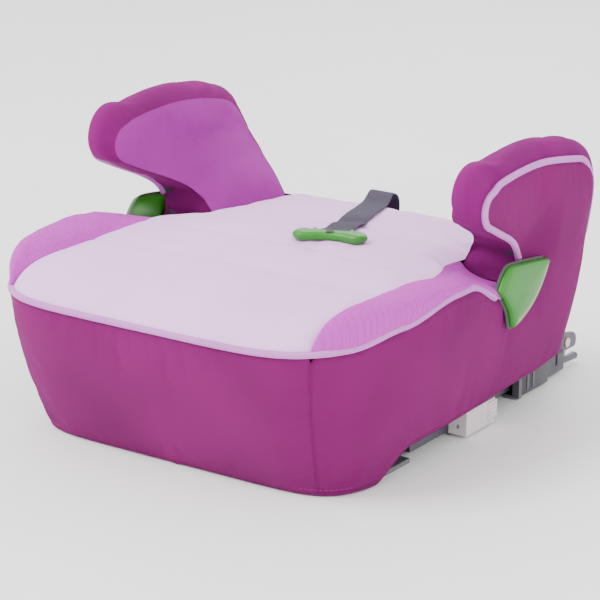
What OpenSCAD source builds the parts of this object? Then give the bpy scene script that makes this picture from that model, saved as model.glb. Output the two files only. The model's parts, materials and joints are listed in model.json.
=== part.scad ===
// Child's booster seat with two rigid ISOFIX arms and a shoulder belt positioning strap.
// The front faces -Y and +Z is up. The origin is in the middle of the flat underside.
// Left and right are the child's: the left side is +X. All sizes are in millimetres.

/* [Body] */
// Width across the rim of the body
rim_w = 384; // [376:1:392]
// Distance from the origin to the front of the rim
rim_front = 197; // [190:1:204]
// Distance from the origin to the back of the body
rim_rear = 213; // [208:1:220]
// Height of the rim at the front
rim_h = 129; // [126:1:132]
// Width of the body where it meets the floor
foot_w = 327; // [321:1:333]
// Distance from the origin to the front edge on the floor
foot_front = 148; // [143:1:153]
// Distance from the origin to the back edge at the bottom
foot_rear = 208; // [204:1:210]

/* [Seat pad] */
// Height of the top of the seat pad
seat_h = 151; // [149:1:153]
// Half the width of the seat pad in front of the armrests
pad_half = 150; // [147:1:153]
// Half the width of the seat pad between the armrests
pad_half_rear = 124; // [121:1:127]
// Height of the crest of the side bolsters
bolster_h = 160; // [157:1:162]

/* [Armrests] */
// Height of the top of the armrests
arm_top = 252; // [248:1:256]
// Distance from the centre plane to the outer face of an armrest
arm_outer = 201; // [199:1:203]
// Thickness of an armrest at its nose
arm_thick = 28; // [26:1:30]
// How far the nose reaches in front of the origin
arm_nose = 21; // [18:1:24]

/* [ISOFIX arms] */
// Distance between the two latches, set by the anchor bars in the car
latch_spacing = 280; // [280]
// How far an arm slides in from the drawn place
slide_in = 54; // [48:1:54]
// Height of the middle of the latch mouth above the floor
mouth_z = 13.5; // [13.5]
// Opening of the latch mouth, for an anchor bar of 6 mm
mouth_gap = 7; // [7]

/* [Strap and clip] */
// Width of the webbing
strap_w = 26; // [24:1:28]
// Thickness of the webbing
strap_t = 1.4; // [1.2:0.1:1.6]
// Length of the belt clip
clip_len = 66; // [62:1:70]

/* [Hidden] */
$fn = 40;

LEFT = 1;
RIGHT = -1;
rear_r = 36;          // radius of the body's rear corners in plan
front_steps = 24;     // points round the front half of the outline
side_steps = 5;       // points along each straight side and along the back
corner_steps = 6;     // steps round each rear corner
outline_n = front_steps + 1 + 3 * side_steps + 2 * (corner_steps + 1);
cover_t = 3.2;        // thickness of the fabric cover with its lining
shell_inset = 4;      // from the cover's face to the shell's face
wall = 3;             // wall of the moulded shell
foot_bend = [7.5, 5.3];   // exponents of the front outline at the floor, across and along
rim_bend = [5.9, 2.25];   // and at the rim
deck_z = 112;         // top of the shell, which carries the pad
piping_r = 2.6;
pad_gap = 0.5;        // between the pad and the bolsters
arm_floor = 126.5;    // underside of the armrest covers
iso_x = latch_spacing / 2;
bar_start = 36;       // front end of an ISOFIX bar
tray_half = 116;      // half the width of the tray between the ISOFIX arms
tray_t = 4;

// ---- helpers ----
function clamp(v, low, high) = max(low, min(high, v));
function mix(a, b, t) = a + (b - a) * t;
function smooth(a, b, v) = let (t = clamp((v - a) / (b - a), 0, 1)) t * t * (3 - 2 * t);
function spow(v, p) = sign(v) * pow(abs(v), p);
function unit(v) = v / norm(v);

// A closed solid through rings of equal length. Its ends are closed from a middle point ("fan") or across
// from side to side ("ladder"), or the last ring meets the first ("none").
module loft(rings, caps = "fan") {
    n = len(rings[0]);
    m = len(rings);
    top = (m - 1) * n;
    middle = function (r) [for (a = [0:2]) [for (p = r) p[a]] * [for (p = r) 1] / n];
    walls = [for (k = [0:caps == "none" ? m - 1 : m - 2]) for (i = [0:n - 1]) let (j = (i + 1) % n, q = (k + 1) % m)
        each [[k * n + i, q * n + i, q * n + j], [k * n + i, q * n + j, k * n + j]]];
    fans = [for (i = [0:n - 1]) let (j = (i + 1) % n) each [[m * n, i, j], [m * n + 1, top + j, top + i]]];
    ladders = [for (i = [0:n / 2 - 2]) let (a = n - 1 - i, b = a - 1)
        each [[i, i + 1, b], [i, b, a], [top + b, top + i + 1, top + i], [top + a, top + b, top + i]]];
    polyhedron(
        points = concat([for (r = rings) each r], caps == "fan" ? [middle(rings[0]), middle(rings[m - 1])] : []),
        faces = concat(walls, caps == "fan" ? fans : caps == "ladder" ? ladders : []));
}

// A round tube swept along a path of points.
module tube(path, r, sides = 6) {
    m = len(path);
    loft([for (k = [0:m - 1]) let (
            t = unit(path[min(k + 1, m - 1)] - path[max(k - 1, 0)]),
            u = unit(cross(t, abs(t.z) < 0.9 ? [0, 0, 1] : [0, 1, 0])),
            v = cross(t, u))
        [for (i = [0:sides - 1]) path[k] + r * (cos(-360 * i / sides) * u + sin(-360 * i / sides) * v)]]);
}

// A compression spring along +Z, from z = 0 to z = length.
module coil_spring(r, wire, length, turns, steps = 12) {
    n = turns * steps;
    tube([for (i = [0:n]) [r * cos(360 * i / steps), r * sin(360 * i / steps), wire + (length - 2 * wire) * i / n]],
        wire);
}

module on_side(side) mirror([side == LEFT ? 0 : 1, 0, 0]) children();
// Turns a shape drawn in the Y-Z plane into a plate from x to x + t.
module plate_yz(x, t) translate([x, 0, 0]) rotate([90, 0, 90]) linear_extrude(t) children();
module block(low, high) translate(low) cube(high - low);

// ---- outline of the body ----
function swell(z) = 1 - pow(1 - clamp(z / rim_h, 0, 1), 1.37);
// Point k of an outline: a superellipse in front and a rectangle with round corners behind.
function plan_point(k, w, f, r, a, b) =
    let (k1 = k - front_steps - 1, k2 = k1 - side_steps, k3 = k2 - corner_steps - 1,
        k4 = k3 - side_steps, k5 = k4 - corner_steps - 1, c = rear_r)
    k1 < 0 ? let (t = 180 + 180 * k / front_steps) [w * spow(cos(t), 2 / a), f * spow(sin(t), 2 / b)] :
    k2 < 0 ? [w, (r - c) * (k1 + 1) / (side_steps + 1)] :
    k3 < 0 ? let (t = 90 * k2 / corner_steps) [w - c + c * cos(t), r - c + c * sin(t)] :
    k4 < 0 ? [(w - c) * (1 - 2 * (k3 + 1) / (side_steps + 1)), r] :
    k5 < 0 ? let (t = 90 + 90 * k4 / corner_steps) [c - w + c * cos(t), r - c + c * sin(t)] :
    [-w, (r - c) * (1 - (k5 + 1) / (side_steps + 1))];
function body_point(k, z, inset = 0) =
    let (g = swell(z), p = plan_point(k,
        mix(foot_w, rim_w, g) / 2 - inset, mix(foot_front, rim_front, g) - inset,
        mix(foot_rear, rim_rear, g) - inset, mix(foot_bend.x, rim_bend.x, g), mix(foot_bend.y, rim_bend.y, g)))
    [p.x, p.y, z];
function rim_y(k) = body_point(k, rim_h).y;
// Lower edge of the cover: on the floor in front, raised over the ISOFIX arms.
function hem(y) = 0.6 + 25 * smooth(-76, -24, y) + 5 * smooth(0, 130, y) + 8 * smooth(130, 213, y);
// Upper edge of the cover: it climbs beside the bolsters and dips at the belt guides.
function rim(y) = rim_h + 7 * smooth(-150, -98, y) + 10 * smooth(-98, -30, y) - 22 * smooth(-8, 48, y);
// One ring on the body, at part f of the height from low to the top of the cover.
function body_ring(f, low, top, inset) =
    [for (k = [0:outline_n - 1]) let (y = rim_y(k), z0 = hem(y) + low)
        body_point(k, z0 + (min(top, rim(y) - 1) - z0) * f, inset)];

// ---- plastic base ----
post_places = [[100, -100], [-100, -100], [95, 20], [-95, 20], [95, 158], [-95, 158]];
arm_screw_y = [114, 166];
arm_screw_x = 178.3;

module shell_skin() {
    levels = [0, 0.15, 0.35, 0.65, 1];
    loft(concat(
        [for (f = [1, 0.65, 0.35, 0.15, 0]) body_ring(f, 3, deck_z - wall, shell_inset + wall)],
        [for (f = levels) body_ring(f, 3, deck_z, shell_inset)]));
}
module base_shell() {
    color("dimgray") difference() {
        union() {
            shell_skin();
            for (p = post_places) translate([p.x, p.y, tray_t]) cylinder(d = 11, h = deck_z - wall - tray_t + 0.5);
        }
        for (p = post_places) translate([p.x, p.y, 0]) cylinder(d = 4.1, h = 22);
        for (side = [LEFT, RIGHT], y = arm_screw_y) translate([side * arm_screw_x, y, deck_z - 10]) cylinder(d = 4.2, h = 20);
        for (side = [LEFT, RIGHT]) on_side(side) for (p = guide_screw_at)
            translate([170, p.x, p.y]) rotate([0, 90, 0]) cylinder(d = 4.2, h = 30);
    }
}

foot_places = [[118, -104], [-118, -104], [92, 190], [-92, 190]];
module base_tray() {
    color("dimgray") difference() {
        union() {
            linear_extrude(tray_t) intersection() {
                polygon([for (k = [0:outline_n - 1]) let (p = body_point(k, 0, 7)) [p.x, p.y]]);
                translate([-200, -200]) square([400, 162]);
            }
            block([-tray_half, -39, 0], [tray_half, 204, tray_t]);
            for (side = [LEFT, RIGHT]) on_side(side) {
                block([tray_half - 4, -39, tray_t], [tray_half, 200, deck_z - wall]);
                block([tray_half, -39, tray_t], [tray_half + 30, -36, deck_z - wall]);
            }
            block([4 - tray_half, 197, tray_t], [tray_half - 4, 200, deck_z - wall]);
        }
        for (p = foot_places) translate([p.x, p.y, -1]) cylinder(d = 26, h = 3.5);
        for (p = post_places) translate([p.x, p.y, -1]) {
            cylinder(d = 9, h = 3.2);
            cylinder(d = 4.4, h = 10);
        }
        for (side = [LEFT, RIGHT]) on_side(side) for (y = rail_screw_y)
            translate([100, y, 16]) rotate([0, 90, 0]) cylinder(d = 5.2, h = 30);
    }
}
module rubber_feet() {
    color("black") for (p = foot_places) translate([p.x, p.y, 0]) cylinder(d = 25.6, h = 2.5);
}
// A pan-head screw along +Z with its head's top at z = 0.
module screw(d, head_d, head_h, length) {
    difference() {
        cylinder(d = head_d, h = head_h);
        translate([0, 0, -0.01]) cylinder(d = d * 0.6, h = head_h * 0.6, $fn = 6);
    }
    translate([0, 0, head_h]) cylinder(d = d, h = length);
}
module tray_screws() {
    color("silver") for (p = post_places) translate([p.x, p.y, 0.2]) screw(4, 8.6, 2, 18);
}

// ---- armrests ----
function arc(c, r, from, to, n) = [for (i = [0:n]) let (t = mix(from, to, i / n)) c + r * [cos(t), sin(t)]];
// Side profile of an armrest, in Y and Z, drawn in by d. It runs up the neck, round the nose and down the back.
nose_r = 27;
function arm_line(d) = let (
    nose_c = [nose_r - arm_nose + 0.45 * d, 223 - 0.85 * d],
    crown = [for (i = [1:7]) let (t = i / 8)
        [158 * t, arm_top - 1.2 * d - 7 * pow(max(0, 1 - 2 * t), 2) - 12 * pow(max(0, (t - 0.45) / 0.55), 2)]])
    concat(
        [[84, arm_floor], [83, 148], [73, 163], [55, 173 + 0.1 * d], [29, 183 + 0.2 * d]],
        arc(nose_c, nose_r - 0.8 * d, 257, 92, 9),
        crown,
        arc([144.3, 184], 56 - d, 78, 6, 8),
        [[203.5 - d, 168], [205 - d, 146], [206 - d, arm_floor]]);
// Inner and outer faces of an armrest at height z.
function arm_in(z) = arm_outer - arm_thick - 48 * (1 - smooth(arm_floor - 14, 215, z));
function arm_out(z) = rim_w / 2 - 1 + (arm_outer - rim_w / 2 + 1) * smooth(arm_floor, 205, z);
// How far the profile is drawn in across the thickness: 0 at the crest, most at the faces.
function arm_round(s) = s < 0.5 ? 12 * pow(1 - 2 * s, 3) : 15 * pow(2 * s - 1, 3.2);
function arm_section(s) = [for (p = arm_line(arm_round(s))) [mix(arm_in(p.y), arm_out(p.y), s), p.x, p.y]];

module armrest_shape() loft([for (s = [0, 0.06, 0.15, 0.3, 0.5, 0.7, 0.85, 0.94, 1]) arm_section(s)], "ladder");
core_x = 176;
core_t = 8;
module core_profile(d) polygon(arm_line(d));
module armrest_core(side) {
    color("dimgray") on_side(side) difference() {
        union() {
            intersection() {
                plate_yz(core_x, core_t) core_profile(13);
                block([core_x, -60, arm_floor], [core_x + core_t, 230, 300]);
            }
            block([core_x - 1.5, 92, deck_z], [core_x + 10.5, 178, arm_floor]);
        }
        for (y = arm_screw_y) translate([arm_screw_x, y, deck_z - 1]) cylinder(d = 4, h = 24);
    }
}
module armrest_screws() {
    color("silver") for (side = [LEFT, RIGHT], y = arm_screw_y)
        translate([side * arm_screw_x, y, deck_z - wall - 3]) screw(4, 7, 3, 20);
}
module armrest_cover(side) {
    color("mediumorchid") on_side(side) difference() {
        armrest_shape();
        plate_yz(core_x, core_t) core_profile(13);
        guide_space();
    }
}

// ---- foam, pad and bolsters ----
// Half the width of the pad at y: full in front, narrow between the armrests.
function pad_half_at(y, inset) = mix(pad_half, pad_half_rear, smooth(10, 62, y)) - inset;
function pad_ring(z, inset) = [for (k = [0:outline_n - 1]) let (
        p = body_point(k, rim_h, inset), half = pad_half_at(p.y, inset))
    [clamp(p.x, -half, half), p.y, z]];
// The pad's top falls away at its edges and sinks a little towards the back.
function crown_ring(drop, inset) = [for (p = pad_ring(0, inset))
    [p.x, p.y, seat_h - drop - 14 * smooth(20, 205, p.y)]];
module seat_foam() color("ivory") loft([pad_ring(deck_z, 12), pad_ring(deck_z + 16, 12), pad_ring(deck_z + 19, 15)]);
module seat_pad() {
    color("thistle") difference() {
        loft([pad_ring(deck_z + 1, 8), pad_ring(rim_h - 3, 4.2), crown_ring(16, 3), crown_ring(9, 6),
            crown_ring(4, 14), crown_ring(1, 32), crown_ring(0, 60)]);
        loft([pad_ring(deck_z - 1, 11.6), pad_ring(deck_z + 17, 11.6), pad_ring(deck_z + 19.4, 14.6)]);
    }
}
// Half the width of the body at y and height z, for y in front of the rear corners.
function side_half(y, z, inset) = let (g = swell(z), f = mix(foot_front, rim_front, g) - inset)
    (mix(foot_w, rim_w, g) / 2 - inset)
        * (y < 0 ? pow(max(0, 1 - pow(-y / f, mix(foot_bend.y, rim_bend.y, g))), 1 / mix(foot_bend.x, rim_bend.x, g)) : 1);
module bolster(side) {
    from = -152;
    to = 50;
    clear = cover_t + 0.5;
    color("orchid") on_side(side) loft([for (i = [0:14]) let (
            t = i / 14, y = mix(from, to, t), inner = pad_half_at(y, 0) + pad_gap,
            low = deck_z + 1, edge = rim(y) - 1,
            crest = mix(edge + 6, bolster_h, smooth(0, 0.35, t)) - 22 * smooth(0.72, 1, t))
        [for (q = [[0, low], [1, low], [1, edge], [0.95, mix(edge, crest, 0.5)], [0.78, mix(edge, crest, 0.9)],
            [0.5, crest], [0.22, mix(seat_h - 5, crest, 0.75)], [0.05, seat_h - 9], [0, seat_h - 14]])
            [mix(inner, side_half(y, q[1], clear), q[0]), y, q[1]]]]);
}

// ---- cover and piping ----
module cover_skirt() {
    levels = [0, 0.08, 0.2, 0.38, 0.62, 0.82, 1];
    color("mediumvioletred") difference() {
        loft(concat(
            [for (f = levels) body_ring(f, 0, 200, 0)],
            [for (i = [6:-1:0]) body_ring(levels[i], 0, 200, cover_t)]), "none");
        for (side = [LEFT, RIGHT]) on_side(side) for (p = guide_screw_at)
            translate([170, p.x, p.y]) rotate([0, 90, 0]) cylinder(d = 11, h = 30);
    }
}
// The piping starts at one belt guide, runs round the front and ends at the other.
module seat_piping() {
    path = [for (i = [0:2 * front_steps + 6]) let (
            s = i / (2 * front_steps + 6), t = 180 - 14 + (180 + 28) * s,
            y = t < 180 ? 40 * (180 - t) / 14 : t > 360 ? 40 * (t - 360) / 14 : (rim_front + 1.4) * spow(sin(t), 2 / rim_bend.y),
            x = t < 180 ? -(rim_w / 2 + 1.4) : t > 360 ? rim_w / 2 + 1.4 : (rim_w / 2 + 1.4) * spow(cos(t), 2 / rim_bend.x))
        [x, y, rim(y) + piping_r - 0.6]];
    color("plum") tube(path, piping_r, 6);
}
module armrest_piping(side) {
    line = arm_line(arm_round(1) - 0.5);
    color("plum") on_side(side) difference() {
        tube([for (i = [1:len(line) - 6]) let (p = line[i]) [arm_out(p.y) + piping_r + 0.3, p.x, p.y]], piping_r, 6);
        guide_space();
    }
}

// ---- belt guides ----
guide_screw_at = [[66, 102.5], [88, 102.5]];
guide_seat = rim_w / 2 - 10.4;   // inside of the shell's wall behind the guide
module guide_profile() {
    polygon(concat([[38, 138.5], [43, 147], [50, 151.5], [60, 152], [117, 144]],
        arc([78, 137], 41, 2, -78, 8), [[62, 98], [57, 98], [54, 112]]));
}
// Room for the guide beside the cover's fabric.
module guide_space() plate_yz(rim_w / 2 + 0.2, 20) offset(delta = 0.5) guide_profile();
module belt_guide(side) {
    color("limegreen") on_side(side) difference() {
        union() {
            plate_yz(rim_w / 2 + 0.6, 6) guide_profile();
            for (p = guide_screw_at) translate([guide_seat + wall + 1.2, p.x, p.y]) rotate([0, 90, 0])
                cylinder(d = 9, h = 7);
        }
        for (p = guide_screw_at) translate([guide_seat, p.x, p.y]) rotate([0, 90, 0]) cylinder(d = 4, h = 12);
    }
}
module guide_screws() {
    color("silver") for (side = [LEFT, RIGHT]) on_side(side) for (p = guide_screw_at)
        translate([guide_seat - 3.2, p.x, p.y]) rotate([0, 90, 0]) screw(4, 7, 2.5, 10);
}

// ---- ISOFIX: fixed rails and crossbar ----
rail_y = [bar_start - slide_in - 10, 100];
rail_screw_y = [-22, 50];
module rail_section(w, low, high) translate([iso_x - w / 2, low]) square([w, high - low]);
module isofix_rail(side) {
    color("#55505c") on_side(side) difference() {
        union() {
            block([iso_x - 10, rail_y[0], 4], [iso_x + 10, rail_y[1], 22]);
            for (y = rail_screw_y) block([tray_half, y - 7, 11], [iso_x - 10, y + 7, 21]);
        }
        block([iso_x - 8, rail_y[0] - 1, 6], [iso_x + 8, rail_y[1] + 1, 20]);
        block([iso_x + 7, rail_y[0] + 4, 10], [iso_x + 11, rail_y[1] - 4, 16]);
        for (y = [-20:20:80]) block([iso_x - 11, y, 3], [iso_x - 7, y + 9, 9]);
        for (y = rail_screw_y) translate([100, y, 16]) rotate([0, 90, 0]) cylinder(d = 5, h = 27);
    }
}
module rail_screws() {
    color("silver") for (side = [LEFT, RIGHT]) on_side(side) for (y = rail_screw_y)
        translate([tray_half - 7, y, 16]) rotate([0, 90, 0]) screw(5, 9, 3, 14);
}
module isofix_crossbar() {
    color("#55505c") translate([0, 84, 40]) rotate([0, 90, 0]) difference() {
        cylinder(d = 16, h = 2 * (tray_half - 4), center = true);
        cylinder(d = 13, h = 2 * tray_half, center = true);
    }
}

// ---- ISOFIX: sliding arms ----
bar_y = [bar_start, 198];
house_y = [33, 86];
house_x = 168;        // outer face of the adjuster housing
button_y = [68, 84];
sleeve_y = [141, 197];
pivot = [243, 24.5];  // Y and Z of the latch pin

module isofix_bar(side) {
    color("#5d5965") on_side(side) difference() {
        block([iso_x - 7, bar_y[0], 7], [iso_x + 7, bar_y[1], 19]);
        block([iso_x - 4.5, bar_y[0] - 1, 9.5], [iso_x + 4.5, bar_y[1] + 1, 16.5]);
        block([iso_x + 4, 40, 10.6], [iso_x + 8, 60, 15.4]);
    }
}
module adjuster_housing(side) {
    x0 = iso_x + 10.4;
    color("gainsboro") on_side(side) difference() {
        union() {
            translate([0, 0, 2.5]) linear_extrude(21.8) {
                translate([x0, house_y[0]]) square([house_x - x0, house_y[1] - 8 - house_y[0]]);
                translate([x0, house_y[0]]) square([house_x - 8 - x0, house_y[1] - house_y[0]]);
                translate([house_x - 8, house_y[1] - 8]) circle(r = 8);
            }
            block([iso_x + 5, 40, 10.6], [x0 + 1, 60, 15.4]);
        }
        block([157, button_y[0], 6], [house_x + 1, button_y[1], 22.4]);
        block([157, 71, 2], [165, 81, 7]);
        translate([159, house_y[0] - 1, 10]) rotate([-90, 0, 0]) cylinder(d = 4, h = 6);
    }
}
module adjust_button(side) {
    color("whitesmoke") on_side(side) {
        block([161, button_y[0] + 0.4, 6.4], [house_x + 0.5, button_y[1] - 0.4, 22]);
        for (z = [9, 13, 17]) block([house_x + 0.5, button_y[0] + 2, z], [house_x + 1.5, button_y[1] - 2, z + 2.4]);
    }
}
// The plate runs under the rail and ends in the tooth that locks behind the rail's inner wall.
module lock_plate(side) {
    color("silver") on_side(side) {
        block([161.5, 72, 2.2], [163.5, 80, 6.4]);
        block([iso_x - 13.5, 72, 1.2], [163.5, 80, 2.2]);
        block([iso_x - 13.5, 72, 2.2], [iso_x - 11.5, 80, 9]);
    }
}
module button_spring(side) {
    color("silver") on_side(side) translate([157.05, 76, 15]) rotate([0, 90, 0]) coil_spring(3, 0.4, 3.9, 3, 10);
}
module arm_sleeve(side) {
    color("#3b3842") on_side(side) difference() {
        union() {
            block([iso_x - 15.5, sleeve_y[0], 1.8], [iso_x + 15.5, sleeve_y[1], 28]);
            block([iso_x - 17.5, sleeve_y[0], 1.5], [iso_x + 17.5, sleeve_y[0] + 5, 30]);
            for (y = [158, 168]) block([iso_x + 15, y, 5], [iso_x + 16.3, y + 3, 25]);
        }
        block([iso_x - 10.5, sleeve_y[0] - 1, 3.5], [iso_x + 10.5, sleeve_y[0] + 22, 22.5]);
        block([iso_x - 7, sleeve_y[0], 7], [iso_x + 7, sleeve_y[1] + 1, 19]);
        block([iso_x - 8.3, 166, 24], [iso_x + 8.3, 198, 29]);
    }
}
// The plastic shell of the latch, split by the slot that the hook swings in.
module latch_shell(side) {
    color("#3b3842") on_side(side) difference() {
        block([iso_x - 12.5, sleeve_y[1], 3], [iso_x + 12.5, 232, 30]);
        block([iso_x - 7, sleeve_y[1] - 1, 7], [iso_x + 7, bar_y[1] + 0.2, 19]);
        block([iso_x - 9, 206, 6], [iso_x + 9, 233, 31]);
        block([iso_x - 8.3, 196, 24], [iso_x + 8.3, 207, 31]);
        for (x = [-12.6, 11.4]) translate([iso_x + x, 0, 0]) {
            block([0, 216, 20], [1.2, 236, 24]);
            block([0, 216, 10], [1.2, 220, 24]);
        }
    }
}
module jaw_profile() {
    difference() {
        union() {
            translate([206, 6.2]) square([32, 23.6]);
            translate(pivot) circle(r = 9.5);
            translate([253, 23]) circle(r = 8.5);
            translate([240, mouth_z]) square([13, 18]);
            polygon([[230, 6.2], [264, 3.4], [266, 6.5], [262, mouth_z - mouth_gap / 2], [230, 12]]);
        }
        translate([242, mouth_z]) circle(d = mouth_gap);
        translate([242, mouth_z - mouth_gap / 2]) square([30, mouth_gap]);
        translate(pivot) circle(d = 6.1);
    }
}
module latch_jaw(side) {
    color("#5d5965") on_side(side) for (x = [-8.9, 5.3]) plate_yz(iso_x + x, 3.6) jaw_profile();
}
module latch_pin(side) {
    color("wheat") on_side(side) translate([iso_x, pivot.x, pivot.y]) rotate([0, 90, 0]) {
        cylinder(d = 6, h = 17.8, center = true);
        for (x = [-1, 1]) translate([0, 0, x * 9.65]) cylinder(d = 9, h = 1.5, center = true);
    }
}
module latch_hook(side) {
    color("silver") on_side(side) plate_yz(iso_x - 2, 4) difference() {
        union() {
            translate(pivot) circle(r = 6.5);
            translate([pivot.x - 18, pivot.y - 2]) square([18, 6]);
            translate([pivot.x, pivot.y - 6.3]) square([10.5, 8]);
            translate([249, 7.5]) square([5, 12]);
        }
        translate(pivot) circle(d = 6.1);
        translate([242, mouth_z]) circle(d = mouth_gap);
    }
}
module release_slider(side) {
    color("gainsboro") on_side(side) {
        block([iso_x - 8, 170, 24.2], [iso_x + 8, 190, 28.6]);
        for (y = [172, 177, 182]) block([iso_x - 6, y, 28.6], [iso_x + 6, y + 2.5, 30]);
        block([iso_x + 2.4, 189, 24.4], [iso_x + 4.9, 223, 27.4]);
        block([iso_x - 2, 221.5, 24.4], [iso_x + 4.9, 223, 27.4]);
    }
}
module release_spring(side) {
    color("silver") on_side(side) translate([iso_x, 190.1, 26.4]) rotate([-90, 0, 0]) coil_spring(1.9, 0.35, 15, 7, 8);
}

// ---- strap and clip ----
clip_at = [33, 27];          // middle of the clip in plan
strap_turn = 19.5;           // direction of the strap from the clip, in degrees from +Y
// Route of the strap's middle line: distance along the seat in Y, and height.
strap_route = [[41.5, 158.5], [52, 156.5], [66, 153], [84, 149.8], [110, 146.8], [140, 143.4], [165, 141.2],
    [180, 141], [193, 142.4], [203, 145], [212, 146.4], [219, 144.6], [223, 140], [224, 132], [222.5, 121],
    [220.4, 106], [218.6, 92], [217.8, 80]];
function strap_x(y) = clip_at.x - (min(y, 214) - clip_at.y) * tan(strap_turn);
function strap_dir(y) = let (a = strap_turn * (1 - smooth(150, 212, y))) [cos(a), sin(a), 0];
module belt_strap() {
    m = len(strap_route);
    color("dimgray") loft([for (k = [0:m - 1]) let (
            q = strap_route[k], d = strap_route[min(k + 1, m - 1)] - strap_route[max(k - 1, 0)],
            up = unit([0, -d.y, d.x]), w = strap_dir(q.x) * strap_w / 2, h = up * strap_t / 2,
            c = [strap_x(q.x), q.x, q.y])
        [c - w - h, c - w + h, c + w + h, c + w - h]]);
}
// A three-bar slide on the stretch of webbing behind the seat.
module strap_adjuster() {
    y = 222.8;
    x = strap_x(214);
    color("#3b3842") difference() {
        block([x - 18, y - 2.2, 98], [x + 18, y + 3.4, 122]);
        block([x - 13.4, y - 3, 101], [x + 13.4, y + 1.4, 119]);
        block([x - 13.4, y - 3, 97], [x + 13.4, y + 1, 123]);
        for (z = [102, 112]) block([x - 13.4, y - 3, z], [x + 13.4, y + 4, z + 6]);
    }
}
module strap_anchor() {
    x = strap_x(214);
    color("#3b3842") difference() {
        block([x - 18, rim_rear + 0.2, 62], [x + 18, rim_rear + 3.6, 84]);
        translate([x, rim_rear - 1, 68]) rotate([-90, 0, 0]) cylinder(d = 5.2, h = 10);
    }
}
module anchor_screw() {
    color("silver") translate([strap_x(214), rim_rear + 6.2, 68]) rotate([90, 0, 0]) screw(5, 9, 2.5, 3.2);
}
clip_z = 158;
pin_y = 11.5;                // from the clip's middle to the bar that the strap's loop turns on
module belt_clip() {
    color("limegreen") translate([clip_at.x, clip_at.y, clip_z]) rotate([0, 0, strap_turn]) {
        difference() {
            translate([0, 0, -4.5]) linear_extrude(9) {
                for (x = [-1, 1]) translate([x * (clip_len / 2 - 9), 0]) circle(r = 9);
                translate([9 - clip_len / 2, -5.5]) square([clip_len - 18, 12]);
                for (x = [-18, 14.5]) translate([x, 0]) square([3.5, pin_y + 2.4]);
            }
            translate([-3.5, -6, 1.5]) cube([7, 7, 6]);
        }
        translate([0, pin_y, 0]) rotate([0, 90, 0]) cylinder(r = 2.2, h = 34, center = true);
    }
}

base_shell();
base_tray();
rubber_feet();
tray_screws();
armrest_core(LEFT);  // armrest_core_left
armrest_core(RIGHT);  // armrest_core_right
armrest_screws();
seat_foam();
seat_pad();
bolster(LEFT);  // bolster_left
bolster(RIGHT);  // bolster_right
cover_skirt();
armrest_cover(LEFT);  // armrest_cover_left
armrest_cover(RIGHT);  // armrest_cover_right
seat_piping();
armrest_piping(LEFT);  // armrest_piping_left
armrest_piping(RIGHT);  // armrest_piping_right
belt_guide(LEFT);  // belt_guide_left
belt_guide(RIGHT);  // belt_guide_right
guide_screws();
isofix_crossbar();
isofix_rail(LEFT);  // isofix_rail_left
isofix_rail(RIGHT);  // isofix_rail_right
rail_screws();
isofix_bar(LEFT);  // isofix_bar_left
isofix_bar(RIGHT);  // isofix_bar_right
adjuster_housing(LEFT);  // adjuster_housing_left
adjuster_housing(RIGHT);  // adjuster_housing_right
adjust_button(LEFT);  // adjust_button_left
adjust_button(RIGHT);  // adjust_button_right
lock_plate(LEFT);  // lock_plate_left
lock_plate(RIGHT);  // lock_plate_right
button_spring(LEFT);  // button_spring_left
button_spring(RIGHT);  // button_spring_right
arm_sleeve(LEFT);  // arm_sleeve_left
arm_sleeve(RIGHT);  // arm_sleeve_right
latch_shell(LEFT);  // latch_shell_left
latch_shell(RIGHT);  // latch_shell_right
latch_jaw(LEFT);  // latch_jaw_left
latch_jaw(RIGHT);  // latch_jaw_right
latch_pin(LEFT);  // latch_pin_left
latch_pin(RIGHT);  // latch_pin_right
latch_hook(LEFT);  // latch_hook_left
latch_hook(RIGHT);  // latch_hook_right
release_slider(LEFT);  // release_slider_left
release_slider(RIGHT);  // release_slider_right
release_spring(LEFT);  // release_spring_left
release_spring(RIGHT);  // release_spring_right
belt_strap();
strap_adjuster();
strap_anchor();
anchor_screw();
belt_clip();
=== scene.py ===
"""Looks of the booster seat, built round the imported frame. Lengths in the helpers are millimetres."""
import json
import math

import bpy
import bmesh
import numpy as np
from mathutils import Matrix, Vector, geometry, noise
from mathutils.bvhtree import BVHTree


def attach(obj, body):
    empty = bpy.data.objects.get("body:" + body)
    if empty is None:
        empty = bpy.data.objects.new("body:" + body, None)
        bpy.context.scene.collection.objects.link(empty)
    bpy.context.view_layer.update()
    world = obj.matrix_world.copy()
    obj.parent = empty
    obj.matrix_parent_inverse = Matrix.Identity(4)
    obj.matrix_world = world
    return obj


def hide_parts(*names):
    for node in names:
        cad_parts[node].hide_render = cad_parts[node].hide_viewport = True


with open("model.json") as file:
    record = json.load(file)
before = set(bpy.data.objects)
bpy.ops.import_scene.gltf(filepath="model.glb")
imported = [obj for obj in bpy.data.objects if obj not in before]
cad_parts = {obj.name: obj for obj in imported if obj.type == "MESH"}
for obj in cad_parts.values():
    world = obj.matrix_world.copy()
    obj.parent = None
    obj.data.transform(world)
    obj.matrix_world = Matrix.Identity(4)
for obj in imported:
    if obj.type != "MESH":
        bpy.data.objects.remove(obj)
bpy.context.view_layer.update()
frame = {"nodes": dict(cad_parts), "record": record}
NODES = frame["nodes"]
SIDES = (("left", 1), ("right", -1))

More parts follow.
